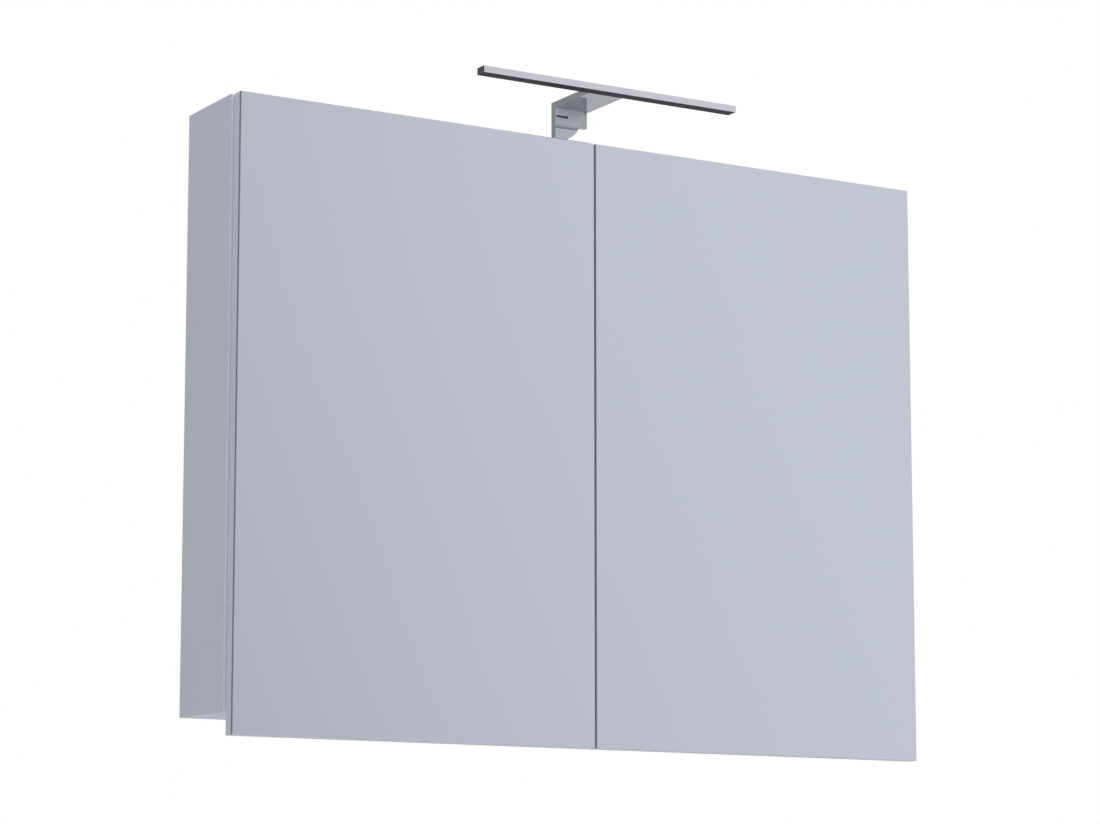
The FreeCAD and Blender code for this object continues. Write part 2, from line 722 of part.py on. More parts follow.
def hinge_arm(name, level):
    """A gooseneck that turns on the pin inside the cup, joined to a channel on the mounting plate."""
    half = "nose_thick / 2"
    outer = "neck_x + nose_thick"
    nose_foot = ("pivot_x", "pivot_y", f"{level} - nose_wide / 2")
    gooseneck = profile(f"gooseneck_{name}", "XY_Plane", [
        ("pivot_x", f"pivot_y - {half}"),
        (f"{outer} - nose_bend", f"pivot_y - {half}", "nose_bend"),
        (outer, f"pivot_y - {half} + nose_bend"),
        (outer, "arm_nose + arm_stop"),
        ("neck_x", "arm_nose + arm_stop"),
        ("neck_x", f"pivot_y + {half}"),
        ("pivot_x", f"pivot_y + {half}")],
        f"{level} - nose_wide / 2", f"{level} + nose_wide / 2")
    eye = rod(f"eye_{name}", "eye_radius", "nose_wide", nose_foot, "+z")
    block = profile(f"arm_block_{name}", "XZ_Plane", rounded(
        ("plate_top", "arm_top"), (f"{level} - arm_wide / 2", f"{level} + arm_wide / 2"), "arm_round",
        square=("low left", "high left")), "-arm_nose - arm_length", "-arm_nose")
    hollow = box(f"arm_hollow_{name}", ("plate_top - overcut", "arm_top - arm_wall"),
                 ("arm_nose + arm_stop", "arm_nose + arm_length + overcut"),
                 (f"{level} - arm_wide / 2 + arm_wall", f"{level} + arm_wide / 2 - arm_wall"))
    channel = cut(f"arm_channel_{name}", block, [hollow])
    whole = fuse(f"arm_whole_{name}", [gooseneck, eye, channel])
    holes = [drill_through(f"arm_pin_hole_{name}", "pin_radius + pin_play", "nose_wide", nose_foot, "+z")]
    for word, radius, line in (("clamp", "clamp_radius", "clamp_line"),
                               ("adjuster", "adjuster_radius", "adjuster_line")):
        holes.append(drill_through(f"arm_{word}_hole_{name}", f"{radius} + fitting_play", "arm_wall",
                                   ("arm_top", f"-carcass_depth + {line}", level), "-x"))
    return cut(f"arm_{name}", whole, holes)


def hinge_plate(name, level):
    """A winged mounting plate on the side panel."""
    saddle = box(f"plate_saddle_{name}", ("-side_inner", "plate_top"),
                 ("-carcass_depth + plate_front", "-carcass_depth + plate_front + plate_length"),
                 (f"{level} - plate_wide / 2", f"{level} + plate_wide / 2"))
    wings = profile(f"plate_wings_{name}", "YZ_Plane", rounded(
        ("plate_y - wing_length / 2", "plate_y + wing_length / 2"),
        (f"{level} - wing_span / 2", f"{level} + wing_span / 2"), "wing_round"),
        "-side_inner", "-side_inner + wing_thick")
    holes = [drill_through(f"wing_hole_{name}_{sign}", "plate_screw_radius + fitting_play", "wing_thick",
                           ("-side_inner", "plate_y", f"{level} {sign} plate_screw_pitch / 2"), "+x")
             for sign in "+-"]
    holes.append(drill_through(f"clamp_thread_{name}", "clamp_radius + fitting_play", "plate_thick",
                               ("-side_inner", "-carcass_depth + clamp_line", level), "+x"))
    return cut(f"plate_{name}", fuse(f"plate_blank_{name}", [saddle, wings]), holes)


def hinges():
    """Two concealed hinges on each door, with their pins and screws."""
    labels = ("hinge_cups", "hinge_pins", "hinge_cup_screws", "hinge_arms", "hinge_plates",
              "hinge_plate_screws", "hinge_clamp_screws", "hinge_adjusters")
    made = {label: [] for label in labels}
    for name, level in HINGE_LEVELS.items():
        made["hinge_cups"].append(hinge_cup(name, level))
        made["hinge_pins"].append(rod(f"pin_{name}", "pin_radius", "pin_length",
                                      ("pivot_x", "pivot_y", f"{level} - pin_length / 2"), "+z"))
        made["hinge_arms"].append(hinge_arm(name, level))
        made["hinge_plates"].append(hinge_plate(name, level))
        for sign in "+-":
            seat = ("cup_x", "door_back + flange_thick", f"{level} {sign} cup_screw_pitch / 2")
            made["hinge_cup_screws"].append(screw(
                f"cup_screw_{name}_{sign}", "cup_screw_head", "cup_screw_cap", "cup_screw_radius",
                "cup_screw_length", seat, "-y"))
            seat = ("-side_inner + wing_thick", "plate_y", f"{level} {sign} plate_screw_pitch / 2")
            made["hinge_plate_screws"].append(screw(
                f"plate_screw_{name}_{sign}", "plate_screw_head", "plate_screw_cap", "plate_screw_radius",
                "plate_screw_length", seat, "-x"))
        made["hinge_clamp_screws"].append(screw(
            f"clamp_screw_{name}", "clamp_head", "clamp_cap", "clamp_radius", "arm_tall + plate_thick",
            ("arm_top", "-carcass_depth + clamp_line", level), "-x"))
        made["hinge_adjusters"].append(rod(
            f"adjuster_{name}", "adjuster_radius", "arm_tall + adjuster_proud",
            ("plate_top", "-carcass_depth + adjuster_line", level), "+x"))
    for label, pieces in made.items():
        keep_pair(label, group(label + "_pair", pieces))


def hangers():
    """Steel wall plates, and the hooks on the side panels that hang over their lips."""
    wall_plate = profile("wall_plate_strip", "YZ_Plane", [
        ("0", "wall_plate_low"), ("0", "ledge - steel_bend", "steel_bend"), ("-steel_bend", "ledge"),
        ("-lip_offset", "ledge"), ("-lip_offset", "lip_top"), ("lip_front", "lip_top"),
        ("lip_front", "ledge - steel + steel_bend", "steel_bend"),
        ("lip_front + steel_bend", "ledge - steel"), ("-steel", "ledge - steel"),
        ("-steel", "wall_plate_low")], "wall_plate_x", "wall_plate_x + wall_plate_wide")
    holes = [drill_through(f"wall_hole_{sign}", "wall_hole_radius", "steel",
                           ("wall_hole_x", "-steel", f"{sign}wall_hole_pitch / 2"), "+y") for sign in "+-"]
    keep_pair("wall_plate", cut("wall_plate_cut", wall_plate, holes))
    hook_rear = "-lip_offset + hook_play + hook_back"
    hook_top = "lip_top + steel"
    hook = profile("hanger_hook", "YZ_Plane", [
        ("hook_front", "ledge"), ("hook_front", f"{hook_top} - steel_bend", "-steel_bend"),
        ("hook_front + steel_bend", hook_top), (hook_rear, hook_top), (hook_rear, "lip_top - hook_turn"),
        ("-lip_offset + hook_play", "lip_top - hook_turn"), ("-lip_offset + hook_play", "lip_top"),
        ("hook_front + steel", "lip_top"), ("hook_front + steel", "ledge")],
        "-side_inner + steel / 2", "wall_plate_x + wall_plate_wide")
    web = box("hanger_web", ("-side_inner", "-side_inner + steel"), ("-hanger_deep", hook_rear),
              ("wall_plate_low", hook_top))
    seats = {sign: ("-side_inner + steel", "-hanger_screw_line", f"{sign}hanger_screw_pitch / 2")
             for sign in "+-"}
    holes = [drill_through(f"hanger_hole_{sign}", "hanger_screw_radius + fitting_play", "steel", seat, "-x")
             for sign, seat in seats.items()]
    keep_pair("hanger_bracket", cut("hanger_cut", fuse("hanger_blank", [hook, web]), holes))
    screws = [screw(f"hanger_screw_{sign}", "hanger_screw_head", "hanger_screw_cap", "hanger_screw_radius",
                    "hanger_screw_length + steel", seat, "-x") for sign, seat in seats.items()]
    keep_pair("hanger_screws", group("hanger_screw_pair", screws))


def lamp_bar():
    """A slim channel with end caps, a diffuser along its underside and a strip of light chips."""
    section = rounded(("lamp_front", "lamp_rear"), ("lamp_bottom", "lamp_top"), "lamp_round",
                      square=("low left", "low right"))
    bar = profile("lamp_channel", "YZ_Plane", section, "-lamp_inner", "lamp_inner")
    hollow = box("lamp_hollow", ("-lamp_inner - overcut", "lamp_inner + overcut"),
                 ("lamp_front + lamp_wall", "lamp_rear - lamp_wall"),
                 ("lamp_bottom - overcut", "lamp_ceiling"))
    screw_level = "(lamp_bottom + diffuser_thick + lamp_ceiling - strip_thick) / 2"
    seats = {sign: (f"{sign}bar_screw_pitch / 2", "lamp_rear - lamp_wall", screw_level) for sign in "+-"}
    holes = [drill_through(f"bar_hole_{sign}", "bar_screw_radius + fitting_play", "lamp_wall", seat, "+y")
             for sign, seat in seats.items()]
    keep("lamp_bar_housing", cut("lamp_bar_cut", cut("lamp_bar_open", bar, [hollow]), holes))
    inside = ("lamp_front + lamp_wall + lamp_play", "lamp_rear - lamp_wall - lamp_play")
    keep("lamp_diffuser", box("diffuser_strip", ("-lamp_inner", "lamp_inner"), inside,
                              ("lamp_bottom", "lamp_bottom + diffuser_thick")))
    strip_half = "lamp_inner - strip_end_gap"
    keep("led_strip_board", box("led_strip", (f"-({strip_half})", strip_half),
                                ("lamp_middle - strip_wide / 2", "lamp_middle + strip_wide / 2"),
                                ("lamp_ceiling - strip_thick", "lamp_ceiling")))
    chips = []
    for number in range(int(value("chip_count"))):
        x = f"-({strip_half}) + 2 * ({strip_half}) * {number + 0.5} / chip_count"
        chips.append(box(f"chip_{number}", (f"{x} - chip_size / 2", f"{x} + chip_size / 2"),
                         ("lamp_middle - chip_size / 2", "lamp_middle + chip_size / 2"),
                         ("lamp_ceiling - strip_thick - chip_thick", "lamp_ceiling - strip_thick")))
    keep("led_chips", group("chip_row", chips))
    plate = profile("cap_plate", "YZ_Plane", section, "-lamp_length / 2", "-lamp_inner")
    plug = box("cap_plug_block", ("-lamp_inner", "-lamp_inner + cap_plug"), inside,
               ("lamp_bottom + diffuser_thick + lamp_play", "lamp_ceiling - lamp_play"))
    keep_pair("lamp_end_cap", fuse("cap_whole", [plate, plug]))
    screws = [screw(f"bar_screw_{sign}", "bar_screw_head", "bar_screw_cap", "bar_screw_radius",
                    "bar_screw_length", seat, "+y") for sign, seat in seats.items()]
    keep("lamp_bar_screws", group("bar_screw_pair", screws))
    return seats


def lamp_bracket(bar_seats):
    """A plated casting: a flat arm out to the bar, on a quarter disc with a slot, a cove and a collar."""
    sides = ("bracket_left", "bracket_wide / 2")
    arm = profile("bracket_arm", "XZ_Plane", rounded(
        sides, ("lamp_bottom", "lamp_top"), "lamp_round", square=("low left", "low right")),
        "-upright_rear", "-lamp_rear")
    disc = profile("bracket_disc", "XZ_Plane", [
        ("bracket_left", "lamp_bottom"), ("bracket_left", "lamp_bottom - disc_radius", "disc_radius"),
        ("bracket_left + disc_radius", "lamp_bottom")], "-upright_rear", "-upright_front")
    collar = box("bracket_collar", sides, ("upright_front + collar_setback", "upright_rear"),
                 ("lamp_bottom - collar_tall", "lamp_bottom"))
    foot = box("bracket_foot", ("bracket_left", "bracket_left + foot_wide"),
               ("upright_front", "upright_rear"), ("base_top", "base_top + foot_rise"))
    slot = profile("bracket_slot", "XZ_Plane", rounded(
        ("bracket_left + slot_inset", "bracket_left + slot_inset + slot_long"),
        ("lamp_bottom - slot_drop - slot_high", "lamp_bottom - slot_drop"), "slot_round"),
        "-upright_front - slot_deep", "-upright_front + overcut")
    cove = profile("bracket_cove", "YZ_Plane", [
        ("upright_front", "lamp_bottom - step_drop"),
        ("upright_front + step_deep", "lamp_bottom - step_drop", "-cove_radius"),
        ("upright_front", "lamp_bottom - cove_drop")], "bracket_left - overcut", "bracket_wide / 2 + overcut")
    holes = [drill(f"bracket_bar_hole_{sign}", "bar_screw_radius + fitting_play",
                   "bar_screw_length - lamp_wall + fitting_play", moved(seat, "+y", "lamp_wall"), "+y")
             for sign, seat in bar_seats.items()]
    foot_seats = {sign: (f"bracket_left + foot_wide / 2 {sign} foot_screw_pitch / 2",
                         "(upright_front + upright_rear) / 2", "base_ceiling") for sign in "+-"}
    holes += [drill(f"bracket_foot_hole_{sign}", "foot_screw_radius + fitting_play",
                    "foot_screw_bite + fitting_play", moved(seat, "+z", "base_wall"), "+z")
              for sign, seat in foot_seats.items()]
    blank = fuse("bracket_blank", [arm, disc, collar, foot])
    keep("lamp_bracket", cut("bracket_cut", blank, [slot, cove] + holes))
    screws = [screw(f"foot_screw_{sign}", "foot_screw_head", "foot_screw_cap", "foot_screw_radius",
                    "base_wall + foot_screw_bite", seat, "+z") for sign, seat in foot_seats.items()]
    keep("lamp_foot_screws", group("foot_screw_pair", screws))
    return foot_seats


def lamp_base(foot_seats):
    """A low box on the cabinet top that carries the bracket and houses the driver; its inlet is behind."""
    outline = rounded(("-base_wide / 2", "base_wide / 2"), ("base_front", "base_rear"), "base_round")
    block = profile("base_block", "XY_Plane", outline, "base_floor", "base_top")
    bevel(block, "base_ease", "z", "base_top")
    hollow = profile("base_hollow", "XY_Plane", rounded(
        ("-base_wide / 2 + base_wall", "base_wide / 2 - base_wall"),
        ("base_front + base_wall", "base_rear - base_wall"), "base_round - base_wall"),
        "base_floor - overcut", "base_ceiling")
    inlet = drill_through("base_inlet_hole", "inlet_tube + fitting_play", "base_wall",
                          ("0", "base_rear - base_wall", "inlet_level"), "+y")
    holes = [drill_through(f"base_foot_hole_{sign}", "foot_screw_radius + fitting_play", "base_wall",
                           seat, "+z") for sign, seat in foot_seats.items()]
    shell = cut("base_shell", block, [hollow])
    keep("lamp_base_housing", cut("base_cut", shell, [inlet] + holes))
    plate = profile("base_sheet", "XY_Plane", outline, "carcass_top", "base_floor")
    seats = {sign: (f"{sign}base_screw_pitch / 2", "base_rear - base_screw_line", "base_floor")
             for sign in "+-"}
    plate_holes = [drill_through(f"base_screw_hole_{sign}", "base_screw_radius + fitting_play", "base_plate",
                                 seat, "-z") for sign, seat in seats.items()]
    keep("lamp_base_plate", cut("base_sheet_cut", plate, plate_holes))
    screws = [screw(f"base_screw_{sign}", "base_screw_head", "base_screw_cap", "base_screw_radius",
                    "base_screw_length", seat, "-z") for sign, seat in seats.items()]
    keep("lamp_base_screws", group("base_screw_pair", screws))
    driver = rounded(("-driver_wide / 2", "driver_wide / 2"),
                     ("base_rear - driver_rear - driver_long", "base_rear - driver_rear"), "driver_round")
    keep("led_driver", profile("driver_block", "XY_Plane", driver, "base_floor", "base_floor + driver_tall"))
    inner_end = ("0", "base_rear + inlet_rim - inlet_length", "inlet_level")
    tube = fuse("inlet_body", [
        rod("inlet_tube_rod", "inlet_tube", "inlet_length", inner_end, "+y"),
        rod("inlet_flange_disc", "inlet_flange", "inlet_rim", ("0", "base_rear", "inlet_level"), "+y")])
    bore = drill_through("inlet_bore", "inlet_radius", "inlet_length", inner_end, "+y")
    keep("lead_inlet_grommet", cut("inlet_cut", tube, [bore]))


def check_and_write():
    """Stop on any failed object, then write one file for each sub-part."""
    doc.recompute()
    for item in doc.Objects:
        if "Invalid" in item.State or "Error" in item.State:
            raise RuntimeError(f"{item.Name} failed: {item.State}")
    os.makedirs("parts", exist_ok=True)
    for node in nodes:
        shape = node.Shape
        if shape.isNull() or not shape.isValid() or not shape.Solids:
            raise RuntimeError(f"{node.Label} has no valid solid")
        shape.exportStep(f"parts/{node.Label}.step")
        print(f"{node.Label}: {len(shape.Solids)} solids, {shape.Volume:.0f} cubic mm")


fill_sheet()
side_panels()
top_and_bottom()
back_and_partition()
carcass_fittings()
shelves()
doors()
hinges()
hangers()
lamp_bracket_seats = lamp_bar()
lamp_base(lamp_bracket(lamp_bracket_seats))
check_and_write()
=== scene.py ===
import json
import math

import bmesh
import bpy
from mathutils import Matrix, Vector

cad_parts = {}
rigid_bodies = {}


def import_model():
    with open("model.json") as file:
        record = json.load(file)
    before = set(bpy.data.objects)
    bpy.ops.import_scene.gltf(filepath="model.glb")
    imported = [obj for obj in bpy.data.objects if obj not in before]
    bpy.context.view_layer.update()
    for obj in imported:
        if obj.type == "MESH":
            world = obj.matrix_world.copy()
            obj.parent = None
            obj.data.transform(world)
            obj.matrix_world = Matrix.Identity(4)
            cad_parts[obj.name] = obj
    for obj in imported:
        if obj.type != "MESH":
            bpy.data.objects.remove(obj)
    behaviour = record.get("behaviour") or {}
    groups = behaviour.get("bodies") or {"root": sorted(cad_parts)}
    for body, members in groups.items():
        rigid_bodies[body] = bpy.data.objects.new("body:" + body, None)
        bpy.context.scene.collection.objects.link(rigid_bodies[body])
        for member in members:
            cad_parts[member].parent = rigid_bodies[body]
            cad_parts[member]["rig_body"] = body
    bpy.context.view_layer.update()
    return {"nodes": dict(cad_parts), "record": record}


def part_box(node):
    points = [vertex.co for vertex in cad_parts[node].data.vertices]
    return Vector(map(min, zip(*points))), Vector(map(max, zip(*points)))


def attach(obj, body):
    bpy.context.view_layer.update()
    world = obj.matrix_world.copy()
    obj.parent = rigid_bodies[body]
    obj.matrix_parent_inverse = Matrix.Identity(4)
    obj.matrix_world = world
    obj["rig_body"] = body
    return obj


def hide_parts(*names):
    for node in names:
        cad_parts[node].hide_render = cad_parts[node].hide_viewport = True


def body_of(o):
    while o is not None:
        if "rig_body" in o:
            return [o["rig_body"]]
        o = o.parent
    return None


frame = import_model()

# Bathroom mirror cabinet: finishes, fastener detail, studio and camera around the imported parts.
# Lengths are in metres, texture scales are per metre, and colours are linear.

MM = 0.001


def left_and_right(*kinds):
    """The names of nodes that come in pairs."""
    return [f"{kind}_{side}" for kind in kinds for side in ("left", "right")]


# The middle of the carcass, between the corners of its side panels.
panel_corners = [corner for name in left_and_right("side_panel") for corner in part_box(name)]
CARCASS_MIDDLE = sum(panel_corners, Vector((0, 0, 0))) / len(panel_corners)

# Fasteners and stops whose plain round solids are replaced by turned shapes.
HEADED = left_and_right("hinge_cup_screws", "hinge_plate_screws", "hinge_clamp_screws", "hanger_screws")
HEADED.append("partition_screws")
FLUSH = ["cam_locks"] + left_and_right("hinge_adjusters")
DOMED = left_and_right("door_bumpers")

# Nodes with their own form of their slot's finish.
LAMP_CAPS = left_and_right("lamp_end_cap")
LEVEL_PANELS = ["top_panel", "bottom_panel"]

# Reading the round solids and skinning the turned ones.
WELD = 0.001 * MM
LEVEL_DIGITS = 6
RING_STEPS = 32
SHARP_ANGLE = math.radians(35)

# Outlines of a screw's head and a door stop: pairs of height and radius, as shares of its own.
PAN_HEAD = ((1, 0.97), (0.9, 1), (0.55, 0.985), (0.25, 0.9), (0.07, 0.78), (0, 0.66))
STOP_WALL = ((1, 0.97), (0.9, 1), (0.6, 1))
STOP_DOME = [math.radians(angle) for angle in (30, 45, 60, 75)]

# Radius of a screw's tip and length of its taper, in shank radii.
SCREW_TIP = 0.12
SCREW_TAPER = 2.2

# Broken edge of a disc, in disc radii; a recess's floor against its mouth; cosines and sines of its arms.
DISC_BEVEL = 0.08
RECESS_FLOOR = 0.75
QUARTER_TURNS = ((1, 0), (0, -1), (-1, 0), (0, 1))

# Camera, fitted to corners of the object in the photograph. Its lens and sensor are in millimetres.
CAMERA_PLACE = Vector((-1.6713, -2.8228, -0.7586))
CAMERA_YAW = math.radians(30.844)
CAMERA_PITCH = math.radians(8.265)
CAMERA_LENS = 104.87
CAMERA_SENSOR = 36
CAMERA_SHIFT_UP = 0.07

# Studio: a pale floor far below the hanging cabinet, and a world that is brighter on the right and above.
FLOOR_LEVEL = -1.6
FLOOR_SIZE = 200
FLOOR_DARK = (0.80, 0.80, 0.80, 1)
FLOOR_PALE = (0.84, 0.84, 0.84, 1)
FLOOR_GLOW = 0.22
FLOOR_FAR_GLOW = 0.55
FLOOR_FADE = (7, 45)
WORLD_DIM = 0.48
WORLD_BRIGHT = 1.02
WORLD_LEAN_UP = 0.4
WORLD_FADE = (0.17, 0.69)
WORLD_AS_LIGHT = 0.75
WHITE = (1, 1, 1, 1)

# Soft square lamps, aimed at the cabinet: name, place, width and power in watts.
STUDIO_AIM = Vector((0, 0, -0.3))
STUDIO_LAMPS = (
    ("key", Vector((0.6, -3.2, 1.8)), 2.5, 30),
    ("fill", Vector((-2.0, -3.2, 0.2)), 1.6, 31),
    ("side", Vector((-3.0, -1.4, 1.9)), 1.6, 25),
    ("bounce", Vector((0.0, -0.4, -1.5)), 1.2, 1.9),
)

# Colours of the board, the glass and the back.
MELAMINE = (0.50, 0.535, 0.615, 1)
# Painted light: the flat front edges of the carcass are painted paler to lift the shade in the gap behind
# the doors.
EDGE_PAINTED_LIGHT = (0.62, 0.66, 0.76, 1)
# Painted shade: the rounded front corners of the carcass are painted darker to dim their highlight.
EDGE_PAINTED_SHADE = (0.40, 0.43, 0.49, 1)
CHIP_DARK = (0.34, 0.235, 0.14, 1)
CHIP_PALE = (0.62, 0.49, 0.33, 1)
CHIP_DUST = (0.27, 0.18, 0.10, 1)
HARDBOARD_DARK = (0.16, 0.095, 0.052, 1)
HARDBOARD_PALE = (0.30, 0.19, 0.11, 1)
MIRROR_SILVER = (0.525, 0.557, 0.632, 1)
MIRROR_EDGE = (0.115, 0.125, 0.150, 1)
MIRROR_EDGE_FLAT = (0.42, 0.45, 0.52, 1)
# Painted light on the glass edges where the doors meet, lifting the shade in the gap.
MIRROR_EDGE_PAINTED_LIGHT = (0.36, 0.385, 0.44, 1)
GLASS_FACE = (0.90, 0.97, 0.95, 1)
GLASS_EDGE = (0.35, 0.62, 0.53, 1)

# Colours of the lamp, the fittings and the small pieces.
CHROME = (0.42, 0.44, 0.475, 1)
CHROME_SATIN = (0.62, 0.66, 0.71, 1)
LAMP_SILVER = (0.58, 0.585, 0.65, 1)
LAMP_DARK = (0.045, 0.046, 0.053, 1)
LAMP_END = (0.095, 0.097, 0.108, 1)
CAP_GREY = (0.085, 0.087, 0.098, 1)
NICKEL = (0.66, 0.645, 0.61, 1)
STEEL = (0.62, 0.62, 0.625, 1)
ZINC = (0.62, 0.63, 0.65, 1)
BEECH_DARK = (0.42, 0.27, 0.15, 1)
BEECH_PALE = (0.68, 0.49, 0.31, 1)
STOP_CLOUDY = (0.80, 0.82, 0.83, 1)
STOP_CLEAR = (0.90, 0.91, 0.91, 1)
CIRCUIT_WHITE = (0.80, 0.80, 0.78, 1)
LED_YELLOW = (0.85, 0.70, 0.25, 1)
DRIVER_WHITE = (0.75, 0.75, 0.73, 1)
RUBBER_BLACK = (0.03, 0.03, 0.032, 1)

# Dark paint on the lamp: the way that a face looks, and its colour. It hardly shines.
DARK_UNDERSIDE = ("Z", -1, LAMP_DARK)
DARK_ENDS = (("X", -1, LAMP_END), ("X", 1, LAMP_END))
PAINT_GLOSS = 0.03
PAINT_ROUGHNESS = 0.4

# How squarely a face looks along an axis: the cosines where its mask starts and where it is full.
MOSTLY = (0.6, 0.8)
SQUARELY = (0.97, 0.99)
SLIGHTLY = (0.1, 0.3)
SILVERED = (0.62, 0.68)
LEVEL_EDGE = (0.3, 0.5)

# How patterns are drawn out along X, Y and Z; a small number makes them longer.
EVEN = (1, 1, 1)
DRAWN = (0.02, 1, 1)
ALONG_X = (0.05, 1, 1)
WIPED = (1, 1, 4)
GRINDING = (1, 1, 6)
CHIPS_UPRIGHT = (1, 1, 0.3)
CHIPS_LEVEL = (0.3, 1, 1)

# The edges where the doors meet lie within these distances of the middle; their painted light, which lifts
# the shade in the gap between the doors, fades out here.
GAP_LIGHT_SPAN = (4 * MM, 8 * MM)

# The set-back faces of the bracket lie within these distances of its rear, and their painted shade fades in
# here.
RECESS_SHADE_SPAN = (7.4 * MM, 5.4 * MM)

# Sockets of a mix node that hold its factor, its two colours and their mix.
MIX_INPUTS = (0, 6, 7)
MIX_OUTPUT = 2


def connect(tree, socket, given):
    """Link a socket to another one, or set its value."""
    if isinstance(given, bpy.types.NodeSocket):
        tree.links.new(given, socket)
    else:
        socket.default_value = given


def wire(tree, made, **inputs):
    """Link or set the named inputs of a node."""
    for word, given in inputs.items():
        connect(tree, made.inputs[word.replace("_", " ")], given)


def node(tree, kind, settings=None, **inputs):
    """A shader node with its settings and inputs."""
    made = tree.nodes.new(kind)
    for word, setting in (settings or {}).items():
        setattr(made, word, setting)
    wire(tree, made, **inputs)
    return made


def new_material(name, **inputs):
    """A material with one principled shader; inputs that are the same all over are set on its sockets."""
    material = bpy.data.materials.new(name)
    material.use_nodes = True
    tree = material.node_tree
    shader = tree.nodes["Principled BSDF"]
    wire(tree, shader, **inputs)
    return material, tree, shader


def object_coordinates(tree, stretch=EVEN):
    """Places in the object's own frame, drawn out along its axes."""
    coordinates = node(tree, "ShaderNodeTexCoord")
    mapping = node(tree, "ShaderNodeMapping", Vector=coordinates.outputs["Object"], Scale=stretch)
    return mapping.outputs["Vector"]


def along(tree, axis):
    """The place along one axis of the object's own frame."""
    return node(tree, "ShaderNodeSeparateXYZ", Vector=object_coordinates(tree)).outputs[axis]


def noise(tree, place, scale, detail=2.0, roughness=0.5):
    """Cloudy noise between 0 and 1."""
    made = node(tree, "ShaderNodeTexNoise", Vector=place, Scale=scale, Detail=detail, Roughness=roughness)
    return made.outputs["Fac"]


def between(tree, factor, low, high, start=0.0, end=1.0, smooth=False):
    """A number that runs from low to high as the factor runs from start to end."""
    made = node(tree, "ShaderNodeMapRange", {"interpolation_type": "SMOOTHSTEP" if smooth else "LINEAR"},
                Value=factor, From_Min=start, From_Max=end, To_Min=low, To_Max=high)
    return made.outputs["Result"]


def maths(tree, operation, *given):
    """The result of one arithmetic operation."""
    made = node(tree, "ShaderNodeMath", {"operation": operation})
    for socket, number in zip(made.inputs, given):
        connect(tree, socket, number)
    return made.outputs[0]


def blend(tree, factor, first, second):
    """A colour mixed from two."""
    made = node(tree, "ShaderNodeMix", {"data_type": "RGBA"})
    for number, given in zip(MIX_INPUTS, (factor, first, second)):
        connect(tree, made.inputs[number], given)
    return made.outputs[MIX_OUTPUT]


def shade(colour, factor):
    """A colour made lighter or darker."""
    return tuple(channel * factor for channel in colour[:3]) + (1,)


def tones(tree, pattern, colour, darkest, lightest):
    """A colour that varies with a pattern, between two shades of it."""
    return blend(tree, pattern, shade(colour, darkest), shade(colour, lightest))


def bump(tree, height, depth, strength):
    """A normal tilted by a height pattern."""
    return node(tree, "ShaderNodeBump", Height=height, Distance=depth, Strength=strength).outputs["Normal"]


def facing(tree, axis, sign, span=MOSTLY):
    """One where the surface, in its own frame, looks along a signed axis, and zero elsewhere."""
    coordinates = node(tree, "ShaderNodeTexCoord")
    parts = node(tree, "ShaderNodeSeparateXYZ", Vector=coordinates.outputs["Normal"])
    start, end = span
    return between(tree, parts.outputs[axis], 0.0, 1.0, sign * start, sign * end)


def facing_either(tree, axis, span=MOSTLY):
    """One where the surface looks along an axis in either sense."""
    return maths(tree, "MAXIMUM", *(facing(tree, axis, sign, span) for sign in (-1, 1)))


def raw_chips(tree, stretch):
    """Colour of raw chipboard: flakes drawn out along the panel, with dust between them."""
    chips = node(tree, "ShaderNodeTexVoronoi", Vector=object_coordinates(tree, stretch), Scale=620)
    flakes = blend(tree, chips.outputs["Color"], CHIP_DARK, CHIP_PALE)
    specks = noise(tree, object_coordinates(tree), scale=2200, detail=3, roughness=0.7)
    dust = between(tree, specks, low=0.0, high=0.7, start=0.45, end=0.75)
    return blend(tree, dust, flakes, CHIP_DUST)


def melamine(name, chip_stretch=None):
    """Pearl-faced board with a faint skin and cloud.

    Where chips are given, its flat front edge is painted paler, a painted light that lifts the shade in the
    gap behind the doors, its rounded front corner is painted darker, a painted shade that dims its
    highlight, and its rear edge is raw.
    """
    material, tree, shader = new_material(name)
    place = object_coordinates(tree)
    cloud = between(tree, noise(tree, place, scale=9, detail=3), low=0, high=1, start=0.3, end=0.7)
    skin = noise(tree, place, scale=1400, detail=3, roughness=0.6)
    colour = tones(tree, cloud, MELAMINE, darkest=0.985, lightest=1.015)
    roughness = between(tree, skin, low=0.36, high=0.46)
    if chip_stretch:
        # Painted shade on the rounded front corner, dimming its highlight.
        colour = blend(tree, facing(tree, "Y", -1, SLIGHTLY), colour, EDGE_PAINTED_SHADE)
        # Painted light on the flat front edge, lifting the shade in the gap behind the doors.
        colour = blend(tree, facing(tree, "Y", -1, SQUARELY), colour, EDGE_PAINTED_LIGHT)
        rear = facing(tree, "Y", 1)
        colour = blend(tree, rear, colour, raw_chips(tree, chip_stretch))
        roughness = between(tree, rear, low=roughness, high=0.85)
    wire(tree, shader, Base_Color=colour, Roughness=roughness,
         Normal=bump(tree, skin, depth=0.02 * MM, strength=0.5))
    return material


def back_sheet():
    """Hardboard: lacquered in front, with the brown screen-marked side behind."""
    material, tree, shader = new_material("back_sheet")
    place = object_coordinates(tree)
    rear = facing(tree, "Y", 1)
    lacquer = tones(tree, noise(tree, place, scale=12, detail=3), MELAMINE, darkest=0.98, lightest=1.03)
    fibre = noise(tree, place, scale=700, detail=4, roughness=0.7)
    brown = blend(tree, fibre, HARDBOARD_DARK, HARDBOARD_PALE)
    weave = node(tree, "ShaderNodeTexChecker", Vector=place, Scale=900)
    screen = maths(tree, "MULTIPLY", weave.outputs["Fac"], rear)
    wire(tree, shader, Base_Color=blend(tree, rear, lacquer, brown),
         Roughness=between(tree, rear, low=0.42, high=0.8),
         Normal=bump(tree, screen, depth=0.06 * MM, strength=0.6))
    return material


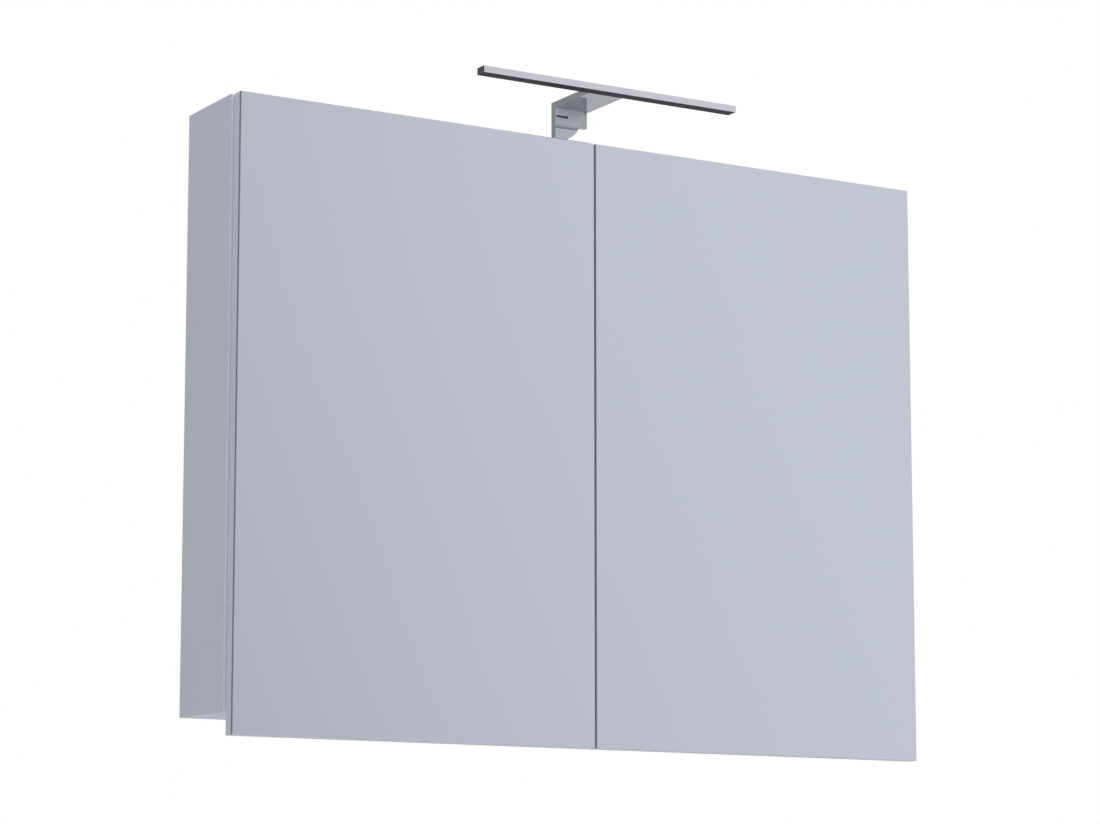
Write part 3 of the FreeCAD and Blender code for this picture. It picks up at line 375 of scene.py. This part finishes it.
def mirror():
    """Silvered glass: a cool mirror in front with a ground edge round it, with painted light on the edges
    where the doors meet, lifting the shade in the gap.
    """
    material, tree, shader = new_material("mirror")
    place = object_coordinates(tree)
    front = facing(tree, "Y", -1, SILVERED)
    silver = tones(tree, noise(tree, place, scale=3), MIRROR_SILVER, darkest=0.992, lightest=1.008)
    upright = tones(tree, noise(tree, place, scale=260), MIRROR_EDGE, darkest=0.9, lightest=1.1)
    from_middle = maths(tree, "ABSOLUTE", along(tree, "X"))
    # Painted light: the edges where the doors meet are painted paler to lift the shade in the gap between
    # them.
    gap_light = between(tree, from_middle, 1.0, 0.0, *GAP_LIGHT_SPAN)
    level = facing_either(tree, "Z", LEVEL_EDGE)
    edge = blend(tree, level, blend(tree, gap_light, upright, MIRROR_EDGE_PAINTED_LIGHT), MIRROR_EDGE_FLAT)
    wipe = noise(tree, object_coordinates(tree, WIPED), scale=14, detail=4, roughness=0.65)
    polish = between(tree, wipe, low=0.012, high=0.03)
    ripple = noise(tree, place, scale=5, detail=1)
    wire(tree, shader, Base_Color=blend(tree, front, edge, silver), Metallic=front,
         Roughness=between(tree, front, low=0.3, high=polish),
         Normal=bump(tree, ripple, depth=0.02 * MM, strength=0.2))
    return material


def shelf_glass():
    """Clear float glass with a green tint in its ground edges."""
    material, tree, shader = new_material("shelf_glass", Transmission_Weight=1.0, IOR=1.5)
    flat = facing_either(tree, "Z")
    smear = noise(tree, object_coordinates(tree), scale=22, detail=4, roughness=0.6)
    polish = between(tree, smear, low=0.0, high=0.02)
    grind = noise(tree, object_coordinates(tree, GRINDING), scale=500)
    wire(tree, shader, Base_Color=blend(tree, flat, GLASS_EDGE, GLASS_FACE),
         Roughness=between(tree, flat, low=0.28, high=polish),
         Normal=bump(tree, grind, depth=0.01 * MM, strength=0.15))
    return material


def metal(name, colour, roughness, grain, stretch=EVEN, depth=0.01 * MM, paint=()):
    """Bare or plated metal: uneven gloss and a fine grain, drawn out along the way it was made.

    Paint names the painted faces: the axis and sign that each looks along, and its colour.
    """
    material, tree, shader = new_material(name)
    lines = noise(tree, object_coordinates(tree, stretch), scale=grain, detail=3, roughness=0.6)
    cloud = noise(tree, object_coordinates(tree), scale=45, detail=3, roughness=0.6)
    fine = between(tree, lines, low=0.75 * roughness, high=1.25 * roughness)
    broad = between(tree, cloud, low=-0.2 * roughness, high=0.2 * roughness)
    gloss = maths(tree, "ADD", fine, broad)
    tint = tones(tree, cloud, colour, darkest=0.93, lightest=1.07)
    metallic = 1.0
    for axis, sign, coat in paint:
        painted = facing(tree, axis, sign)
        tint = blend(tree, painted, tint, coat)
        gloss = between(tree, painted, low=gloss, high=PAINT_ROUGHNESS)
        metallic = between(tree, painted, low=metallic, high=0.0)
    if paint:
        wire(tree, shader, Specular_IOR_Level=PAINT_GLOSS)
    wire(tree, shader, Base_Color=tint, Roughness=gloss, Metallic=metallic,
         Normal=bump(tree, lines, depth, strength=0.4))
    return material


def lamp_silver(name, *paint):
    """Drawn aluminium of the lamp, painted on some faces."""
    return metal(name, LAMP_SILVER, roughness=0.22, grain=2600, stretch=DRAWN, depth=0.004 * MM, paint=paint)


def bracket_chrome():
    """Chrome plate: polished below and at the sides, satin in front, with painted shade where it is set
    back.
    """
    material, tree, shader = new_material("bracket_chrome")
    front = facing(tree, "Y", -1)
    lines = noise(tree, object_coordinates(tree, ALONG_X), scale=1500, detail=3, roughness=0.6)
    brushed = tones(tree, lines, CHROME_SATIN, darkest=0.97, lightest=1.03)
    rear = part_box("lamp_bracket")[1].y
    # Painted shade: faces set back towards the rear are darkened, as in a shadowed recess.
    recess_shade = between(tree, along(tree, "Y"), 0.0, 1.0, *(rear - depth for depth in RECESS_SHADE_SPAN))
    satin = blend(tree, recess_shade, brushed, shade(CHROME_SATIN, 0.78))
    brushing = between(tree, lines, low=0.42, high=0.52)
    wire(tree, shader, Base_Color=blend(tree, front, CHROME, satin),
         Metallic=between(tree, front, low=1.0, high=0.3),
         Roughness=between(tree, front, low=0.03, high=brushing))
    return material


def galvanised(name, colour):
    """Zinc-plated sheet with faint crystal patches."""
    material, tree, shader = new_material(name, Metallic=1.0)
    place = object_coordinates(tree)
    crystals = node(tree, "ShaderNodeTexVoronoi", Vector=place, Scale=160)
    patch = node(tree, "ShaderNodeRGBToBW", Color=crystals.outputs["Color"]).outputs["Val"]
    rough = noise(tree, place, scale=900, detail=3)
    wire(tree, shader, Base_Color=tones(tree, patch, colour, darkest=0.85, lightest=1.1),
         Roughness=between(tree, patch, low=0.28, high=0.5),
         Normal=bump(tree, rough, depth=0.01 * MM, strength=0.4))
    return material


def plastic(name, colour, roughness, grain=1100, depth=0.03 * MM, gloss=0.5):
    """Moulded plastic or rubber with a fine spark-eroded grain."""
    material, tree, shader = new_material(name, Specular_IOR_Level=gloss)
    place = object_coordinates(tree)
    pits = noise(tree, place, scale=grain, detail=3, roughness=0.6)
    cloud = noise(tree, place, scale=60)
    wire(tree, shader, Base_Color=tones(tree, cloud, colour, darkest=0.94, lightest=1.06),
         Roughness=between(tree, pits, low=roughness - 0.06, high=roughness + 0.06),
         Normal=bump(tree, pits, depth, strength=0.5))
    return material


def soft_clear():
    """Clear soft polymer of the door stops."""
    material, tree, shader = new_material("bumper", Transmission_Weight=0.7, IOR=1.45)
    haze = noise(tree, object_coordinates(tree), scale=500, detail=3)
    wire(tree, shader, Base_Color=blend(tree, haze, STOP_CLOUDY, STOP_CLEAR),
         Roughness=between(tree, haze, low=0.18, high=0.32))
    return material


def beech():
    """Beech with fine grain along the dowel."""
    material, tree, shader = new_material("beech")
    grain = noise(tree, object_coordinates(tree, ALONG_X), scale=900, detail=4, roughness=0.7)
    wire(tree, shader, Base_Color=blend(tree, grain, BEECH_DARK, BEECH_PALE),
         Roughness=between(tree, grain, low=0.55, high=0.75),
         Normal=bump(tree, grain, depth=0.05 * MM, strength=0.5))
    return material


def slot_materials():
    """One finish for each material slot of the record."""
    return {
        "melamine": melamine("melamine", CHIPS_UPRIGHT),
        "back_sheet": back_sheet(),
        "door_board": melamine("door_board"),
        "mirror": mirror(),
        "shelf_glass": shelf_glass(),
        "nickel": metal("nickel", NICKEL, roughness=0.2, grain=1500),
        "steel": metal("steel", STEEL, roughness=0.3, grain=1800),
        "zinc": galvanised("zinc", ZINC),
        "beech": beech(),
        "bumper": soft_clear(),
        "lamp_aluminium": lamp_silver("lamp_aluminium", DARK_UNDERSIDE),
        "lamp_diffuser": plastic("lamp_diffuser", LAMP_DARK, roughness=0.4, grain=1600,
                                 depth=0.01 * MM, gloss=PAINT_GLOSS),
        "lamp_plastic": plastic("lamp_plastic", CAP_GREY, roughness=0.45),
        "circuit": plastic("circuit", CIRCUIT_WHITE, roughness=0.4),
        "led": plastic("led", LED_YELLOW, roughness=0.3),
        "bracket_chrome": bracket_chrome(),
        "driver_plastic": plastic("driver_plastic", DRIVER_WHITE, roughness=0.5),
        "grommet": plastic("grommet", RUBBER_BLACK, roughness=0.6),
    }


def dress_nodes(materials):
    """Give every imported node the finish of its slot, or its own form of it."""
    own_finish = dict.fromkeys(LAMP_CAPS, lamp_silver("lamp_cap", DARK_UNDERSIDE, *DARK_ENDS))
    own_finish.update(dict.fromkeys(LEVEL_PANELS, melamine("melamine_level", CHIPS_LEVEL)))
    for row in frame["record"]["subparts"]:
        slots = frame["nodes"][row["node"]].data.materials
        slots.clear()
        slots.append(own_finish.get(row["node"], materials[row["material_slot"]]))


def add_object(name, data):
    """A new object in the scene."""
    made = bpy.data.objects.new(name, data)
    bpy.context.scene.collection.objects.link(made)
    return made


def solids(name):
    """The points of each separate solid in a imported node."""
    welded = bmesh.new()
    welded.from_mesh(frame["nodes"][name].data)
    bmesh.ops.remove_doubles(welded, verts=welded.verts, dist=WELD)
    waiting = set(welded.verts)
    found = []
    for start in welded.verts:
        if start not in waiting:
            continue
        waiting.remove(start)
        reached = [start]
        for vertex in reached:
            neighbours = [edge.other_vert(vertex) for edge in vertex.link_edges]
            fresh = [neighbour for neighbour in neighbours if neighbour in waiting]
            waiting.difference_update(fresh)
            reached.extend(fresh)
        found.append([vertex.co.copy() for vertex in reached])
    welded.free()
    return found


def measure(points):
    """Frame and steps of a round solid, whose axis is the one with equal sizes across it.

    +Z runs out of its wider end, or of the end nearer the carcass's middle where both are as wide. The
    frame's origin is the middle of that end, and each step is a height below it with the radius there.
    """
    low = Vector(map(min, zip(*points)))
    high = Vector(map(max, zip(*points)))
    size = high - low
    middle = (low + high) / 2
    axis = min(range(3), key=lambda number: abs(size[number - 1] - size[number - 2]))
    levels = sorted({round(point[axis], LEVEL_DIGITS) for point in points})

    def radius_at(level):
        at_level = [point - middle for point in points if abs(point[axis] - level) < WELD]
        return max(math.hypot(point[axis - 1], point[axis - 2]) for point in at_level)

    steps = [(level, radius_at(level)) for level in levels]
    first, last = steps[0], steps[-1]
    towards_middle = CARCASS_MIDDLE[axis] > middle[axis]
    rising = last[1] > first[1] if abs(last[1] - first[1]) > WELD else towards_middle
    top = last[0] if rising else first[0]
    up = Vector((0, 0, 0))
    up[axis] = 1 if rising else -1
    middle[axis] = top
    place = Matrix.Translation(middle) @ up.to_track_quat("Z", "Y").to_matrix().to_4x4()
    below_top = sorted((abs(level - top), radius) for level, radius in steps)
    return place, [(-drop, radius) for drop, radius in below_top]


def turned(mesh, place, profile):
    """Skin a turned shape from (height, radius) pairs, closed below; the last ring is given back."""
    angles = [2 * math.pi * step / RING_STEPS for step in range(RING_STEPS)]
    last = None
    for height, radius in profile:
        circle = [Vector((radius * math.cos(angle), radius * math.sin(angle), height)) for angle in angles]
        ring = [mesh.verts.new(place @ point) for point in circle]
        if last is None:
            mesh.faces.new(ring)
        else:
            for step in range(RING_STEPS):
                mesh.faces.new((last[step - 1], last[step], ring[step], ring[step - 1]))
        last = ring
    return last


def loop_edges(mesh, ring):
    """The edges round a ring of vertices."""
    pairs = [(ring[step - 1], vertex) for step, vertex in enumerate(ring)]
    return [mesh.edges.get(pair) or mesh.edges.new(pair) for pair in pairs]


def cross_recess(mesh, place, ring, reach, half_width, depth):
    """Close a flat end with a cross-shaped driver recess that narrows towards its floor."""
    arm = [(half_width, half_width), (reach, half_width), (reach, -half_width)]
    outline = [(x * c - y * s, x * s + y * c) for c, s in QUARTER_TURNS for x, y in arm]
    mouth = [mesh.verts.new(place @ Vector((x, y, 0))) for x, y in outline]
    base = [mesh.verts.new(place @ Vector((RECESS_FLOOR * x, RECESS_FLOOR * y, -depth))) for x, y in outline]
    bmesh.ops.triangle_fill(mesh, use_beauty=True, edges=loop_edges(mesh, ring) + loop_edges(mesh, mouth))
    for step in range(len(outline)):
        mesh.faces.new((mouth[step - 1], mouth[step], base[step], base[step - 1]))
    mesh.faces.new(base)


def headed_screw(mesh, place, steps):
    """A pan head with a cross recess on a shank that tapers to a point."""
    (_, head), (seat, _), (tip, shank) = steps[0], steps[1], steps[-1]
    point = [(tip, SCREW_TIP * shank), (tip + SCREW_TAPER * shank, shank), (seat, shank)]
    pan = [(height * seat, radius * head) for height, radius in PAN_HEAD]
    ring = turned(mesh, place, point + pan)
    cross_recess(mesh, place, ring, reach=0.5 * head, half_width=0.11 * head, depth=-0.75 * seat)


def flush_disc(mesh, place, steps):
    """A round insert with a broken edge and a cross recess."""
    (_, radius), (foot, _) = steps
    bevel = DISC_BEVEL * radius
    ring = turned(mesh, place, [
        (foot, radius - bevel), (foot + bevel, radius), (-bevel, radius), (0, radius - bevel)])
    cross_recess(mesh, place, ring, reach=0.6 * radius, half_width=0.12 * radius, depth=0.45 * radius)


def soft_dome(mesh, place, steps):
    """A stick-on stop with a domed face."""
    (_, radius), (foot, _) = steps
    wall = [(height * foot, width * radius) for height, width in STOP_WALL]
    dome = [(foot * (1 - math.sin(angle)), radius * math.cos(angle)) for angle in STOP_DOME]
    ring = turned(mesh, place, wall + dome)
    mesh.faces.new(ring)


def turned_mesh(name, shape):
    """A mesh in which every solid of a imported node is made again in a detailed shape."""
    built = bmesh.new()
    for points in solids(name):
        shape(built, *measure(points))
    bmesh.ops.recalc_face_normals(built, faces=built.faces)
    for face in built.faces:
        face.smooth = True
    for edge in built.edges:
        edge.smooth = edge.calc_face_angle(math.pi) < SHARP_ANGLE
    mesh = bpy.data.meshes.new(name + "_turned")
    built.to_mesh(mesh)
    built.free()
    return mesh


def dress_fasteners(materials):
    """Replace the plain round solids of the fasteners that show by detailed ones in the same places."""
    finish = {row["node"]: row["material_slot"] for row in frame["record"]["subparts"]}
    for names, shape in ((HEADED, headed_screw), (FLUSH, flush_disc), (DOMED, soft_dome)):
        for name in names:
            mesh = turned_mesh(name, shape)
            mesh.materials.append(materials[finish[name]])
            piece = add_object(name + "_turned", mesh)
            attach(piece, body_of(frame["nodes"][name])[0])
            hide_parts(name)


def studio_world():
    """White to the camera and through glass; in reflections and as light, soft and brighter on one side."""
    world = bpy.data.worlds.new("studio")
    bpy.context.scene.world = world
    world.use_nodes = True
    tree = world.node_tree
    direction = node(tree, "ShaderNodeTexCoord").outputs["Generated"]
    lean = node(tree, "ShaderNodeVectorMath", {"operation": "DOT_PRODUCT"})
    connect(tree, lean.inputs[0], direction)
    connect(tree, lean.inputs[1], (1, 0, WORLD_LEAN_UP))
    sweep = between(tree, lean.outputs["Value"], WORLD_DIM, WORLD_BRIGHT, *WORLD_FADE, smooth=True)
    path = node(tree, "ShaderNodeLightPath").outputs
    as_light = maths(tree, "MULTIPLY", sweep, WORLD_AS_LIGHT)
    light = between(tree, path["Is Diffuse Ray"], low=sweep, high=as_light)
    seen = maths(tree, "MAXIMUM", path["Is Camera Ray"], path["Is Transmission Ray"])
    wire(tree, tree.nodes["Background"], Color=WHITE, Strength=between(tree, seen, low=light, high=1.0))


def soft_lamp(name, place, width, power):
    """A large square lamp that lights the cabinet and doesn't show itself."""
    data = bpy.data.lights.new(name, "AREA")
    data.size = width
    data.energy = power
    lamp = add_object(name, data)
    lamp.location = place
    lamp.rotation_euler = (STUDIO_AIM - place).to_track_quat("-Z", "Y").to_euler()
    lamp.visible_camera = False
    lamp.visible_glossy = False
    lamp.visible_transmission = False


def floor_finish():
    """Pale floor that is lifted towards white where it is seen or mirrored, and more so far away."""
    material, tree, shader = new_material("floor", Roughness=0.9, Emission_Color=WHITE)
    place = object_coordinates(tree)
    specks = noise(tree, place, scale=30, detail=4)
    path = node(tree, "ShaderNodeLightPath").outputs
    mirrored = maths(tree, "MAXIMUM", path["Is Glossy Ray"], path["Is Transmission Ray"])
    seen = maths(tree, "MAXIMUM", path["Is Camera Ray"], mirrored)
    away = node(tree, "ShaderNodeVectorMath", {"operation": "LENGTH"}, Vector=place).outputs["Value"]
    glow = between(tree, away, FLOOR_GLOW, FLOOR_FAR_GLOW, *FLOOR_FADE, smooth=True)
    wire(tree, shader, Base_Color=blend(tree, specks, FLOOR_DARK, FLOOR_PALE),
         Emission_Strength=maths(tree, "MULTIPLY", seen, glow))
    return material


def floor():
    """A plain floor far below the cabinet."""
    mesh = bpy.data.meshes.new("floor")
    half = FLOOR_SIZE / 2
    corners = [(x * half, y * half, FLOOR_LEVEL) for x, y in ((-1, -1), (1, -1), (1, 1), (-1, 1))]
    mesh.from_pydata(corners, [], [(0, 1, 2, 3)])
    mesh.materials.append(floor_finish())
    plane = add_object("floor", mesh)


def camera():
    """The photograph's viewpoint: front left and below, looking up a little."""
    data = bpy.data.cameras.new("camera")
    data.sensor_width = CAMERA_SENSOR
    data.lens = CAMERA_LENS
    data.shift_y = CAMERA_SHIFT_UP
    eye = add_object("camera", data)
    eye.location = CAMERA_PLACE
    eye.rotation_euler = (math.pi / 2 + CAMERA_PITCH, 0, -CAMERA_YAW)
    bpy.context.scene.camera = eye


finishes = slot_materials()
dress_nodes(finishes)
dress_fasteners(finishes)
studio_world()
floor()
for lamp_name, lamp_place, lamp_width, lamp_power in STUDIO_LAMPS:
    soft_lamp(lamp_name, lamp_place, lamp_width, lamp_power)
camera()
bpy.context.scene.view_settings.view_transform = "Standard"
